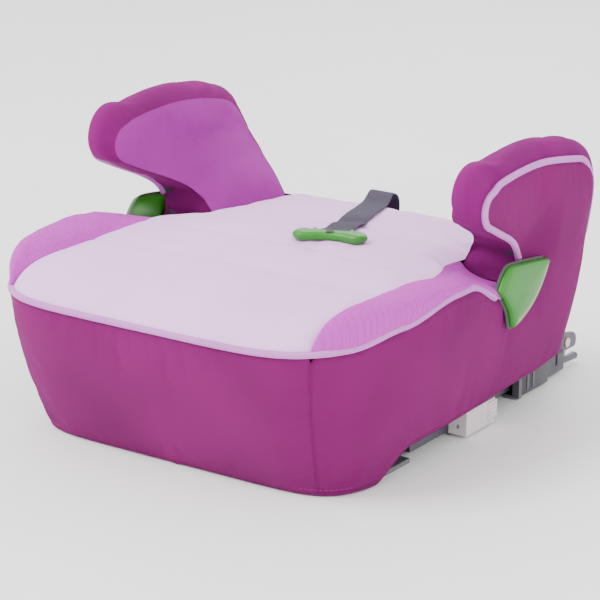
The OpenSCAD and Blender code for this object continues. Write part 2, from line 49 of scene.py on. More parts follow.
# ---------------------------------------------------------------- camera, light and floor
AZIMUTH, ELEVATION, DISTANCE = math.radians(34.5), math.radians(17.7), 2.0227
TARGET = Vector((0.03235, -0.0169, 0.1123))
level = math.cos(ELEVATION)
back = Vector((math.sin(AZIMUTH) * level, -math.cos(AZIMUTH) * level, math.sin(ELEVATION)))
camera = bpy.data.objects.new("camera", bpy.data.cameras.new("camera"))
bpy.context.scene.collection.objects.link(camera)
camera.data.lens, camera.data.sensor_width = 144, 36
camera.location = TARGET + back * DISTANCE
camera.rotation_euler = back.to_track_quat("Z", "Y").to_euler()
bpy.context.scene.camera = camera


def area_light(name, at, aim, size, power):
    light = bpy.data.objects.new(name, bpy.data.lights.new(name, "AREA"))
    bpy.context.scene.collection.objects.link(light)
    light.data.shape, light.data.size, light.data.energy = "DISK", size, power
    light.location = at
    light.rotation_euler = (Vector(at) - Vector(aim)).to_track_quat("Z", "Y").to_euler()


area_light("key_light", (-0.9, -1.3, 1.9), (0, 0, 0.1), 1.1, 58)
area_light("side_light", (1.9, -0.5, 1.1), (0.1, 0, 0.12), 1.2, 14)
area_light("rear_light", (-0.5, 1.7, 1.5), (0, 0.1, 0.2), 1.2, 16)
world = bpy.data.worlds.new("studio")
bpy.context.scene.world = world
world.use_nodes = True
world.node_tree.nodes["Background"].inputs["Color"].default_value = (1, 1, 1, 1)
world.node_tree.nodes["Background"].inputs["Strength"].default_value = 1.7


# ---------------------------------------------------------------- small helpers
def clamp(v, low, high):
    return max(low, min(high, v))


def mix(a, b, t):
    return a + (b - a) * t


def smooth(a, b, v):
    t = clamp((v - a) / (b - a), 0, 1)
    return t * t * (3 - 2 * t)


def spow(v, p):
    return math.copysign(abs(v) ** p, v)


def wave3(p, scale, seed=0.0):
    """Smooth noise from -1 to 1 at a point in millimetres."""
    return noise.noise(Vector((p[0] / scale + seed, p[1] / scale - seed, p[2] / scale + 2 * seed)))


def make(name, points, faces, material, body, uv=None, level=0):
    """A piece from points in millimetres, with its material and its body."""
    me = bpy.data.meshes.new(name)
    me.from_pydata([tuple(0.001 * float(c) for c in p) for p in points], [], [tuple(f) for f in faces])
    me.polygons.foreach_set("use_smooth", [True] * len(me.polygons))
    if uv is not None:
        layer = me.uv_layers.new(name="cloth")
        for loop in me.loops:
            layer.data[loop.index].uv = uv[loop.vertex_index]
    me.materials.append(material)
    o = bpy.data.objects.new(name, me)
    bpy.context.scene.collection.objects.link(o)
    if level:
        sub = o.modifiers.new("finer", "SUBSURF")
        sub.levels = sub.render_levels = level
    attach(o, body)
    return o


def grid_faces(n, m, around=False, flip=False):
    """Faces of n rows of m points. around closes each row on itself."""
    out = []
    for i in range(n - 1):
        for j in range(m if around else m - 1):
            a, b = i * m + j, (i + 1) * m + j
            c, d = (i + 1) * m + (j + 1) % m, i * m + (j + 1) % m
            out.append((a, d, c, b) if flip else (a, b, c, d))
    return out


def resample(line, step=None, count=None):
    """The same line with evenly spaced points."""
    line = np.array(line, float)
    along = np.concatenate([[0], np.cumsum(np.linalg.norm(np.diff(line, axis=0), axis=1))])
    n = count or max(2, int(round(along[-1] / step)) + 1)
    t = np.linspace(0, along[-1], n)
    return np.stack([np.interp(t, along, line[:, k]) for k in range(line.shape[1])], 1)


def round_off(line, times=2):
    """Corner cutting, which turns a coarse line into a smooth one and keeps its ends."""
    line = [np.array(p, float) for p in line]
    for _ in range(times):
        out = [line[0]]
        for p, q in zip(line, line[1:]):
            out += [p * 0.75 + q * 0.25, p * 0.25 + q * 0.75]
        line = out + [line[-1]]
    return np.array(line)


def inside(points, loop):
    """Which points lie inside a closed outline."""
    x, y = points[:, 0], points[:, 1]
    hit = np.zeros(len(points), bool)
    for (x1, y1), (x2, y2) in zip(loop, np.roll(loop, -1, 0)):
        if y1 == y2:
            continue
        cross = (y1 > y) != (y2 > y)
        hit ^= cross & (x < (x2 - x1) * (y - y1) / (y2 - y1) + x1)
    return hit


def edge_distance(points, loop):
    """How far each point is from a closed outline."""
    best = np.full(len(points), 1e9)
    for a, b in zip(loop, np.roll(loop, -1, 0)):
        d = b - a
        t = np.clip(((points - a) @ d) / max(1e-9, d @ d), 0, 1)
        best = np.minimum(best, np.linalg.norm(points - a - t[:, None] * d, axis=1))
    return best


def cut_cloth(loop, step):
    """Flat cloth inside a closed outline: points, faces, and each point's distance from the outline."""
    loop = np.array(loop, float)
    low, high = loop.min(0), loop.max(0)
    xs, ys = np.arange(low[0] + step / 2, high[0], step), np.arange(low[1] + step / 2, high[1], step)
    field = np.array([(x, y) for x in xs for y in ys])
    field = field[inside(field, loop)]
    field = field[edge_distance(field, loop) > 0.55 * step]
    n = len(loop)
    every = [Vector(p) for p in np.concatenate([loop, field])]
    points, _, faces, *_ = geometry.delaunay_2d_cdt(every, [], [list(range(n))], 1, 1e-5)
    points = np.array([tuple(p) for p in points])
    return points, [list(f) for f in faces], edge_distance(points, loop)


def face_towards(o, direction):
    """Turns a piece's faces over if most of them look away from the direction."""
    me = o.data
    total = sum((p.normal * p.area for p in me.polygons), Vector())
    if total.dot(Vector(direction)) < 0:
        me.flip_normals()
    return o


def puff(o, held, pressure, cap, frames=20, slack=0.012, stiff=12):
    """Swells a sewn panel with Cloth while the held points, its seams, stay put. No point moves past cap."""
    scene = bpy.context.scene
    before = np.array([v.co for v in o.data.vertices])
    group = o.vertex_groups.new(name="seams")
    group.add([int(i) for i in held], 1.0, "REPLACE")
    levels = [(m, m.show_viewport) for m in o.modifiers]
    for m, _ in levels:
        m.show_viewport = False
    cloth = o.modifiers.new("cloth", "CLOTH")
    s = cloth.settings
    s.quality, s.mass = 7, 0.15
    s.tension_stiffness = s.compression_stiffness = stiff
    s.shear_stiffness, s.bending_stiffness = stiff / 2, 0.4
    s.vertex_group_mass = "seams"
    s.use_pressure, s.uniform_pressure_force = True, pressure
    s.shrink_min = -slack
    s.effector_weights.gravity = 0
    cloth.collision_settings.use_collision = False
    cloth.point_cache.frame_start, cloth.point_cache.frame_end = 1, frames
    for f in range(1, frames + 1):
        scene.frame_set(f)
    seen = o.evaluated_get(bpy.context.evaluated_depsgraph_get()).data
    after = np.array([v.co for v in seen.vertices])
    o.modifiers.remove(cloth)
    for m, shown in levels:
        m.show_viewport = shown
    o.vertex_groups.remove(group)
    scene.frame_set(1)
    move = after - before
    far = np.linalg.norm(move, axis=1)
    move *= (np.minimum(far, cap * 0.001) / np.maximum(far, 1e-9))[:, None]
    o.data.vertices.foreach_set("co", (before + move).ravel())
    o.data.update()
    print("puff", o.name, "mean %.2f mm, most %.2f mm" % (far.mean() * 1000, far.max() * 1000))


def nudge(o, amount):
    """Moves each vertex along its normal by amount(x, y, z) millimetres."""
    me = o.data
    normals = [v.normal.copy() for v in me.vertices]
    for v, n in zip(me.vertices, normals):
        v.co += n * (0.001 * amount(*(c * 1000 for c in v.co)))
    me.update()


def sweep(name, line, radius, material, body, sides=12, flat=1.0, up=None, seed=0.0):
    """A cord along a line. flat scales it in the direction up."""
    line = np.array(line, float)
    n = len(line)
    points, uv, run = [], [], 0.0
    previous = None
    for i, p in enumerate(line):
        t = line[min(n - 1, i + 1)] - line[max(0, i - 1)]
        t = t / np.linalg.norm(t)
        if up is not None:
            v = np.array(up, float)
        elif previous is None:
            v = np.array([0, 0, 1.0]) if abs(t[2]) < 0.9 else np.array([0, 1.0, 0])
        else:
            v = previous
        v = v - t * (v @ t)
        v /= np.linalg.norm(v)
        previous = v
        u = np.cross(t, v)
        if i:
            run += np.linalg.norm(p - line[i - 1])
        r = radius * (1 + 0.035 * wave3(p, 9, seed))
        for k in range(sides):
            w = 2 * math.pi * k / sides
            points.append(p + r * (math.cos(w) * u + flat * math.sin(w) * v))
            uv.append((run / 10, 2 * math.pi * radius * k / sides / 10))
    faces = grid_faces(n, sides, around=True)
    for ring, turn in ((0, 1), (n - 1, -1)):
        points.append(line[ring])
        uv.append((0, 0))
        c = len(points) - 1
        for k in range(sides):
            a, b = ring * sides + k, ring * sides + (k + 1) % sides
            faces.append((a, b, c)[::turn])
    return make(name, points, faces, material, body, uv)


def stitches(name, line, outward, material, body, pitch=4.2, length=3.0, thick=0.42):
    """A row of sewn stitches along a line. outward(p) is the direction off the cloth at a point."""
    line = resample(line, pitch)
    points, faces = [], []
    for i in range(len(line) - 1):
        t = line[i + 1] - line[i]
        t /= np.linalg.norm(t)
        n = np.array(outward(line[i]), float)
        n /= np.linalg.norm(n)
        side = np.cross(t, n)
        start = len(points)
        rows = ((0, 0.15, -0.5), (0.12, 0.8, 0.2), (0.5, 1.0, 0.5), (0.88, 0.8, 0.2), (1, 0.15, -0.5))
        for part, width, lift in rows:
            c = line[i] + t * (part * length) + n * (lift * thick)
            for k in range(6):
                w = math.pi * k / 3
                points.append(c + width * thick * (math.cos(w) * side + math.sin(w) * n))
        faces += [tuple(start + q for q in f) for f in grid_faces(len(rows), 6, around=True)]
    return make(name, points, faces, material, body)


# ---------------------------------------------------------------- materials
class Finish:
    """A material built from nodes round one Principled shader."""

    def __init__(self, name, rough, **shader):
        self.material = bpy.data.materials.new(name)
        self.material.use_nodes = True
        self.tree = self.material.node_tree
        self.tree.nodes.clear()
        self.shader = self.node("ShaderNodeBsdfPrincipled")
        out = self.node("ShaderNodeOutputMaterial")
        self.tree.links.new(self.shader.outputs[0], out.inputs[0])
        self.shader.inputs["Roughness"].default_value = rough
        for k, v in shader.items():
            self.shader.inputs[k.replace("_", " ")].default_value = v
        self.coords = self.node("ShaderNodeTexCoord")

    def node(self, kind, inputs=(), **props):
        n = self.tree.nodes.new(kind)
        for k, v in props.items():
            setattr(n, k, v)
        for k, v in dict(inputs).items():
            if hasattr(v, "is_output"):
                self.tree.links.new(v, n.inputs[k])
            else:
                n.inputs[k].default_value = v
        return n

    def space(self, where, scale, turn=0.0):
        return self.node("ShaderNodeMapping", {"Vector": self.coords.outputs[where], "Scale": scale,
                                               "Rotation": (0, 0, turn)}).outputs[0]

    def noise(self, where, scale, detail=2.0, rough=0.5, stretch=(1, 1, 1)):
        return self.node("ShaderNodeTexNoise", {"Vector": self.space(where, stretch), "Scale": scale,
                                                "Detail": detail, "Roughness": rough}).outputs["Fac"]

    def ramp(self, value, stops):
        r = self.node("ShaderNodeValToRGB", {"Fac": value})
        for i, (at, color) in enumerate(stops):
            e = r.color_ramp.elements[i] if i < 2 else r.color_ramp.elements.new(at)
            e.position, e.color = at, (*color, 1)
        return r.outputs["Color"]

    def blend(self, factor, a, b, how="MIX"):
        m = self.node("ShaderNodeMix", data_type="RGBA", blend_type=how)
        for k, v in ((0, factor), (6, a), (7, b)):
            if hasattr(v, "is_output"):
                self.tree.links.new(v, m.inputs[k])
            else:
                m.inputs[k].default_value = v if k == 0 else (*v, 1)
        return m.outputs[2]

    def sum(self, a, b, gain):
        m = self.node("ShaderNodeMath", operation="MULTIPLY_ADD")
        self.tree.links.new(b, m.inputs[0])
        m.inputs[1].default_value = gain
        self.tree.links.new(a, m.inputs[2])
        return m.outputs[0]

    def bump(self, height, depth, strength=1.0):
        b = self.node("ShaderNodeBump", {"Height": height, "Distance": depth, "Strength": strength})
        self.tree.links.new(b.outputs[0], self.shader.inputs["Normal"])
        return self

    def color(self, value):
        self.tree.links.new(value, self.shader.inputs["Base Color"])
        return self

    def roughness(self, value, low, high):
        r = self.node("ShaderNodeMapRange", {"Value": value, "To Min": low, "To Max": high})
        self.tree.links.new(r.outputs[0], self.shader.inputs["Roughness"])
        return self


def srgb(r, g, b):
    return tuple(((c / 255 + 0.055) / 1.055) ** 2.4 if c > 10 else c / 255 / 12.92 for c in (r, g, b))


def cloth_finish(name, light, mid, dark, melange, thread=1.0, emboss=0.0, sheen=0.35, rough=0.86):
    """Woven or knitted cloth. thread is the pitch in millimetres, and the UVs are in centimetres."""
    f = Finish(name, rough, Sheen_Weight=sheen, Sheen_Roughness=0.45, Specular_IOR_Level=0.25)
    f.shader.inputs["Sheen Tint"].default_value = (*light, 1)
    flat = f.space("UV", (1, 1, 1))
    threads = {"Vector": flat, "Scale": 5 / thread, "Distortion": 0.6, "Detail": 1.0}
    warp, weft = (f.node("ShaderNodeTexWave", threads, wave_type="BANDS", bands_direction=way).outputs["Fac"]
                  for way in "XY")
    weave = f.node("ShaderNodeMath", {0: warp, 1: weft}, operation="MULTIPLY").outputs[0]
    fibre = f.noise("UV", 14.0, 6.0, 0.75, (1, 2.6, 1))
    patch = f.noise("Object", 11.0, 1.0)
    base = f.ramp(f.sum(f.sum(patch, fibre, melange), weave, 0.12),
                  [(0.25, dark), (0.95 + melange * 0.35, light)])
    middle = f.node("ShaderNodeMapRange",
                    {"Value": patch, "From Min": 0.3, "From Max": 0.7, "To Min": 0.55, "To Max": 0.72})
    f.color(f.blend(middle.outputs[0], base, mid))
    height = f.sum(weave, fibre, 0.7)
    if emboss:
        cells = f.node("ShaderNodeTexBrick", {
            "Vector": flat, "Scale": 1.0, "Mortar Size": 0.09, "Mortar Smooth": 1.0, "Brick Width": 0.95,
            "Row Height": 0.6, "Color1": (1, 1, 1, 1), "Color2": (1, 1, 1, 1), "Mortar": (0, 0, 0, 1)})
        height = f.sum(height, cells.outputs["Color"], emboss)
    f.bump(height, 0.00032)
    return f.material


def moulded(name, color, rough, grain=900.0, depth=0.00006, edge_highlight=(1, 1, 1), coat=0.0):
    """Moulded plastic with a fine spark texture, a little dust in its colour, and paler edges, a painted
    highlight along them.
    """
    f = Finish(name, rough, Coat_Weight=coat, Coat_Roughness=0.25)
    big = f.noise("Object", 22.0, 3.0)
    fine = f.noise("Object", grain, 2.0)
    # Paler where the surface is pointy: a painted highlight along the edges.
    edge = f.node("ShaderNodeNewGeometry").outputs["Pointiness"]
    rim = f.ramp(edge, [(0.49, (0, 0, 0)), (0.62, (1, 1, 1))])
    shade = f.ramp(big, [(0.3, tuple(c * 0.86 for c in color)),
                         (0.75, tuple(min(1, c * 1.12) for c in color))])
    f.color(f.blend(f.node("ShaderNodeMath", {0: rim, 1: 0.35}, operation="MULTIPLY").outputs[0], shade,
                    tuple(min(1, mix(c, w, 0.3)) for c, w in zip(color, edge_highlight))))
    f.roughness(f.sum(big, fine, 0.3), rough - 0.08, rough + 0.12)
    f.bump(fine, depth)
    return f.material


def metal(name, color, rough, brushed=(1, 40, 1)):
    """Metal with fine drawn lines and darker stains."""
    f = Finish(name, rough, Metallic=1.0)
    lines = f.noise("Object", 160.0, 4.0, 0.6, brushed)
    stain = f.noise("Object", 28.0, 3.0)
    f.color(f.ramp(f.sum(lines, stain, 0.5), [(0.35, tuple(c * 0.72 for c in color)), (1.0, color)]))
    f.roughness(f.sum(stain, lines, 0.4), rough - 0.08, rough + 0.2)
    f.bump(lines, 0.00003)
    return f.material


PAD = cloth_finish("pad_cloth", srgb(250, 212, 252), srgb(242, 192, 246), srgb(222, 168, 234), 0.10, 1.6,
                   sheen=0.15)
MELANGE = cloth_finish("bolster_cloth", srgb(224, 88, 216), srgb(192, 52, 186), srgb(144, 26, 146), 0.55, 1.1,
                       emboss=1.8, sheen=0.2)
ORCHID = cloth_finish("orchid_cloth", srgb(190, 66, 180), srgb(156, 38, 148), srgb(122, 24, 118), 0.22, 1.1,
                      sheen=0.18)
MAGENTA = cloth_finish("magenta_cloth", srgb(156, 22, 124), srgb(124, 10, 98), srgb(92, 4, 74), 0.10, 0.9,
                       sheen=0.18)
BAND = cloth_finish("band_cloth", srgb(168, 20, 140), srgb(132, 8, 112), srgb(92, 2, 76), 0.10, 0.9,
                    sheen=0.2)
PIPING = cloth_finish("piping_cloth", srgb(246, 176, 246), srgb(226, 140, 228), srgb(194, 100, 198),
                      0.14, 0.7, sheen=0.2)
THREAD = cloth_finish("thread", srgb(188, 58, 156), srgb(160, 36, 130), srgb(120, 16, 98), 0.2, 0.4)
PAD_THREAD = cloth_finish("pad_thread", srgb(244, 232, 246), srgb(230, 212, 236), srgb(212, 190, 222), 0.2,
                          0.4)
WEB = cloth_finish("webbing_cloth", srgb(96, 88, 108), srgb(62, 56, 74), srgb(34, 30, 44), 0.2, 1.0,
                   sheen=0.15, rough=0.7)
# The green's paler edge colour is a painted highlight.
GREEN = moulded("green_plastic", srgb(30, 124, 6), 0.38, edge_highlight=srgb(100, 170, 60), coat=0.15)
FROST = moulded("frosted_edge", srgb(136, 172, 96), 0.5, grain=1500.0, depth=0.0001)
DARK = moulded("dark_plastic", srgb(58, 55, 64), 0.5)
# A near-black finish for sheets that stand for shade in gaps and notches: painted shade.
PAINTED_SHADE = moulded("painted_shade", srgb(30, 24, 32), 0.7)
GREY = moulded("grey_plastic", srgb(206, 196, 200), 0.42)
STEEL = metal("coated_steel", srgb(120, 116, 128), 0.42)
BRIGHT = metal("bright_steel", srgb(196, 196, 202), 0.28)
RIVET = metal("rivet_steel", srgb(226, 206, 178), 0.3)
RUBBER = moulded("rubber", srgb(34, 33, 36), 0.8, grain=500.0, depth=0.00015)
FOAM = moulded("foam", srgb(232, 226, 206), 0.9, grain=300.0, depth=0.0006)


# ---------------------------------------------------------------- outline of the body
# The rim and the foot of the cover: half the width, the distances to the front and the rear, and the two
# exponents of the superellipse in front.
RIM_H, CORNER, SWELL = 129.0, 36.0, 1.37
RIM_W, RIM_F, RIM_R, RIM_A, RIM_B = 192.0, 197.0, 213.0, 5.9, 2.25
FOOT_W, FOOT_F, FOOT_R, FOOT_A, FOOT_B = 163.5, 148.0, 208.0, 7.5, 5.3


def plan(q, z):
    """The body's outline at height z.

    q is 0 in the middle of the front, 90 at the widest and 360 in the middle of the back."""
    g = 1 - (1 - clamp(z / RIM_H, 0, 1)) ** SWELL
    w, f, r = mix(FOOT_W, RIM_W, g), mix(FOOT_F, RIM_F, g), mix(FOOT_R, RIM_R, g)
    if q <= 90:
        d = math.radians(q)
        across, along = 2 / mix(FOOT_A, RIM_A, g), 2 / mix(FOOT_B, RIM_B, g)
        return w * math.sin(d) ** across, -f * max(0, math.cos(d)) ** along
    if q <= 180:
        return w, (r - CORNER) * (q - 90) / 90
    if q <= 270:
        d = math.radians(q - 180)
        return w - CORNER + CORNER * math.cos(d), r - CORNER + CORNER * math.sin(d)
    return (w - CORNER) * (1 - (q - 270) / 90), r


Q = np.concatenate([90 * np.linspace(0, 1, 500) ** 2.4, np.linspace(90, 360, 500)[1:]])
RIM = np.array([plan(q, RIM_H) for q in Q])
RUN = np.concatenate([[0], np.cumsum(np.linalg.norm(np.diff(RIM, axis=0), axis=1))])
END = RUN[-1]


# Places round the rim by s, the length run from the middle of the front.
def q_at(s):
    return float(np.interp(abs(s), RUN, Q))


def y_at(s):
    return float(np.interp(abs(s), RUN, RIM[:, 1]))


def s_of_y(y):
    return float(np.interp(y, RIM[:, 1], RUN))


def s_of_x(x):
    front = Q <= 60
    return float(np.interp(x, RIM[front, 0], RUN[front]))


def hem(y):
    """Lower edge of the cover."""
    return 0.8 + 25 * smooth(-76, -24, y) + 5 * smooth(0, 130, y) + 8 * smooth(130, 213, y)


def rim(y):
    """Upper edge of the cover."""
    return RIM_H + 7 * smooth(-150, -98, y) + 10 * smooth(-98, -30, y) - 22 * smooth(-8, 48, y)


def half_at(y):
    """Half the width at the rim."""
    if y < 0:
        return RIM_W * max(0, 1 - (-y / RIM_F) ** RIM_B) ** (1 / RIM_A)
    if y <= RIM_R - CORNER:
        return RIM_W
    return RIM_W - CORNER + math.sqrt(max(0, CORNER ** 2 - (y - (RIM_R - CORNER)) ** 2))


def lean(y, z):
    """How far the outer face of an armrest leans out past the rim."""
    return 10 * smooth(118, 205, z) * max(smooth(-60, 20, y), smooth(150, 190, z))


def neck_inset(y, z):
    """How far the neck of an armrest stands in, behind the belt guide."""
    across = smooth(122, 92, y) * max(smooth(44, 66, y), smooth(152, 172, z))
    return max(0.0, lean(y, max(z, 118.1)) - 8 + 14 * smooth(200, 152, z)) * across * smooth(100, 130, z)


def skin(s, z, inset=0.0):
    """A point of the cover's outer face. s runs along the rim from the middle of the front.

    + is the child's left."""
    if abs(s) > END:
        s = s - math.copysign(2 * END, s)
    x, y = plan(q_at(s), min(z, RIM_H))
    x += (lean(y, z) if z > 118 else 0) - (neck_inset(y, z) if y > 44 or z > 150 else 0)
    if inset:
        x2, y2 = plan(q_at(abs(s) + 1), min(z, RIM_H))
        x1, y1 = plan(q_at(abs(s) - 1), min(z, RIM_H))
        t = np.array([x2 - x1, y2 - y1]) / max(1e-6, math.hypot(x2 - x1, y2 - y1))
        x, y = x - t[1] * inset, y + t[0] * inset
    return np.array([math.copysign(x, s) if s else x, y, z])


# ---------------------------------------------------------------- armrest outline
ARM_FLOOR, ARM_TOP = 126.5, 252.0


def arc(cx, cy, r, start, end, n):
    """Points round a centre, in n steps between two angles in degrees."""
    turns = [math.radians(mix(start, end, i / n)) for i in range(n + 1)]
    return [(cx + r * math.cos(w), cy + r * math.sin(w)) for w in turns]


def arm_line(d):
    """Side profile of an armrest in Y and Z, drawn in by d, up the neck, round the nose and down the back."""
    crown = [(158 * t, ARM_TOP - 1.2 * d - 7 * max(0, 1 - 2 * t) ** 2 - 12 * max(0, (t - 0.45) / 0.55) ** 2)
             for t in (i / 8 for i in range(1, 8))]
    return ([(84, ARM_FLOOR), (83, 148), (73, 163), (55, 173 + 0.1 * d), (29, 183 + 0.2 * d)]
            + arc(6 + 0.45 * d, 223 - 0.85 * d, 27 - 0.8 * d, 257, 92, 9) + crown
            + arc(144.3, 184, 56 - d, 78, 6, 8) + [(203.5 - d, 168), (205 - d, 146), (206 - d, ARM_FLOOR)])


def arm_in(z):
    """Inner face of an armrest."""
    return 173 - 48 * (1 - smooth(112.5, 215, z))


def arm_round(s):
    """How far the profile is drawn in, from the inner seam at s = 0 to the outer one at 1."""
    return 12 * (1 - 2 * s) ** 3 if s < 0.5 else 15 * (2 * s - 1) ** 3.2


BAND_N, BAND_M = 150, 15
BAND_S = [0.5 - 0.5 * math.cos(math.pi * j / (BAND_M - 1)) for j in range(BAND_M)]


# The band's points as seen from the side, column by column from the inner seam to the outer one.
COLUMNS = [resample(round_off(arm_line(arm_round(s)), 2), count=BAND_N) for s in BAND_S]


def out_x(y, z):
    """Outer face of an armrest."""
    return half_at(y) - 0.4 + lean(y, max(z, 118.1)) - neck_inset(y, z)


# ---------------------------------------------------------------- seat pad and bolsters
SEAT_H = 150.0
PAD_FRONT, PAD_REAR = 150, 131     # half the width of the pad, in front of the armrests and between them
CHANNELS = (-67.0, 5.0, 98.0)
FAR = 300.0                        # further from an edge of the pad than its rounding reaches


def pad_half(y):
    return mix(PAD_FRONT, PAD_REAR, smooth(10, 62, y))


def pad_height(x, y, front, rear):
    """Top of the seat pad. front and rear are the distances to its front and rear edges."""
    sag = 14 * smooth(20, 205, y) - 2.5 * math.exp(-((x / 90) ** 2)) * smooth(-190, -100, y)
    side = pad_half(y) - abs(x)
    edge = mix(2.2 * math.exp(-side / 5), 7 * math.exp(-side / 9), smooth(20, 60, y))
    groove = sum(1.5 * math.exp(-((y - c) / 3.2) ** 2) for c in CHANNELS)
    return SEAT_H - sag - 20 * math.exp(-front / 12) - 11 * math.exp(-rear / 11) - edge - groove


# Rows of the pad's grid, with one along each channel and none close beside it.
ROWS = sorted(set(list(np.arange(-RIM_F, RIM_R + 0.1, 5.125)) + list(CHANNELS)))
ROWS = [r for r in ROWS if all(r == c or abs(r - c) > 2.2 for c in CHANNELS)]
ROWS[0], ROWS[-1] = -RIM_F, RIM_R
COLS = np.linspace(-1, 1, 61)


def front_edge(x):
    return -RIM_F * (1 - (x / RIM_W) ** RIM_A) ** (1 / RIM_B)


def pad_place(c, row):
    """Plan position of the pad's grid: column c from -1 to 1, and a row named by its y at the middle."""
    front = front_edge(PAD_FRONT * abs(c))
    y = front + (row + RIM_F) * (-100 - front) / (RIM_F - 100) if row < -100 else row
    return c * pad_half(y), y, y - front


def seat_top():
    points, uv = [], []
    for row in ROWS:
        for c in COLS:
            x, y, front = pad_place(c, row)
            points.append((x, y, pad_height(x, y, front * 0.9 + 0.001, RIM_R - y)))
            uv.append((x / 10, y / 10))
    n, m = len(ROWS), len(COLS)
    pad = make("seat_pad_cloth", points, grid_faces(n, m, flip=True), PAD, "base", uv, 1)
    face_towards(pad, (0, 0, 1))
    held = [i * m + j for i in range(n) for j in range(m)
            if i in (0, n - 1) or j in (0, m - 1) or ROWS[i] in CHANNELS]
    puff(pad, held, 5, 2.2, slack=0.014)
    nudge(pad, lambda x, y, z: 0.5 * wave3((x, y * 2.2, z), 26) * smooth(4, 26, PAD_FRONT - abs(x)))
    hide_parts("seat_pad", "seat_foam")
    for k, c in enumerate(CHANNELS):
        reach = pad_half(c) - 3
        line = [(x, c, pad_height(x, c, FAR, FAR) + 0.35) for x in np.linspace(-reach, reach, 90)]
        stitches("pad_stitch_%d" % (k + 1), line, lambda p: (0, 0, 1), PAD_THREAD, "base",
                 thick=0.32)
    return pad


def bolster_top(name, side):
    """A bolster's cloth, in rows from its seam with the pad to its seam with the side."""
    rows = [pad_place(1, r)[1] for r in ROWS if r <= 80]
    m = 15
    points, uv = [], []
    for y in rows:
        inner, outer = pad_half(y), half_at(y) + 0.6
        front = y - front_edge(PAD_FRONT)
        z_in = pad_height(inner, y, front * 0.9 + 0.001, FAR)
        z_out = rim(y) + 1.4
        room = clamp((outer - inner) / 26, 0, 1) ** 0.7
        crest = mix(max(z_in, z_out) + 1, 163 - 39 * smooth(-70, 110, y), room)
        low = min(crest, z_out + 6)
        bulge = outer + 1.5 * room
        section = [(inner, z_in), (mix(inner, outer, 0.1), mix(z_in, crest, 0.6)),
                   (mix(inner, outer, 0.42), crest), (mix(inner, outer, 0.8), crest - 1),
                   (bulge, mix(low, crest, 0.6)), (bulge, low), (outer, z_out)]
        for x, z in resample(round_off(section, 2), count=m):
            points.append((side * x, y, z))
            uv.append((x / 10, y / 10))
    n = len(rows)
    top = make("bolster_cloth_" + name, points, grid_faces(n, m), MELANGE, "base", uv, 1)
    face_towards(top, (0, 0, 1))
    held = [i * m + j for i in range(n) for j in range(m) if i in (0, n - 1) or j in (0, m - 1)]
    puff(top, held, 4, 1.8, slack=0.006)
    nudge(top, lambda x, y, z: 0.45 * wave3((x, y, z), 18, side))
    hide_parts("bolster_" + name)


# ---------------------------------------------------------------- cover: front, sides and back
def panel_grid(name, runs, top, material, rows=34):
    """A sewn panel of the cover between two upright seams, and the indices of its edge points."""
    points, uv = [], []
    for s in runs:
        y = y_at(s if s < END else 2 * END - s)
        low, high = hem(y), top(y)
        for k in range(rows):
            z = mix(low, high, k / (rows - 1))
            points.append(skin(s, z))
            uv.append((s / 10, z / 10))
    o = make(name, points, grid_faces(len(runs), rows), material, "base", uv)
    held = [i * rows + k for i in range(len(runs)) for k in range(rows)
            if i in (0, len(runs) - 1) or k in (0, rows - 1)]
    return o, held


def creases(amount, long=70, fine=16):
    """Soft folds of stretched cloth, with small puckers near the hem."""
    def move(x, y, z):
        s = math.atan2(y, x) * 200
        low = math.exp(-max(0, z - hem(y) - 5) / 9)
        folds = wave3((s, z * 0.7, 0), long) + 0.35 * wave3((s, z, 9), fine)
        return amount * folds * smooth(0, 14, z - hem(y)) + 0.35 * low * wave3((s * 2.4, z * 0.5, 3), fine)
    return move


REAR_Y = 195.0                     # the upright seam between the side and the back
FRONT_SEAM = s_of_x(PAD_FRONT)
BACK_SEAM = s_of_y(REAR_Y)
BACK_TOP = 127.5                   # top of the cover behind the seat


def thicken(o, thick=2.4):
    """Gives a sheet of the cover its thickness, inwards."""
    solid = o.modifiers.new("thickness", "SOLIDIFY")
    solid.thickness, solid.offset = thick * 0.001, -1


def skirt():
    """The front and the back of the cover."""
    front, held = panel_grid("cover_front", np.linspace(-FRONT_SEAM, FRONT_SEAM, 84), rim, MAGENTA)
    face_towards(front, (0, -1, 0))
    puff(front, held, 2.5, 2.0, slack=0.006)
    nudge(front, creases(0.35))
    thicken(front)
    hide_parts("cover_skirt")
    runs = np.linspace(BACK_SEAM, 2 * END - BACK_SEAM, 84)
    rear, held = panel_grid("cover_rear", runs, lambda y: BACK_TOP, MAGENTA)
    face_towards(rear, (0, 1, 0))
    puff(rear, held, 2.5, 1.5, slack=0.006)
    nudge(rear, creases(0.4))
    thicken(rear)


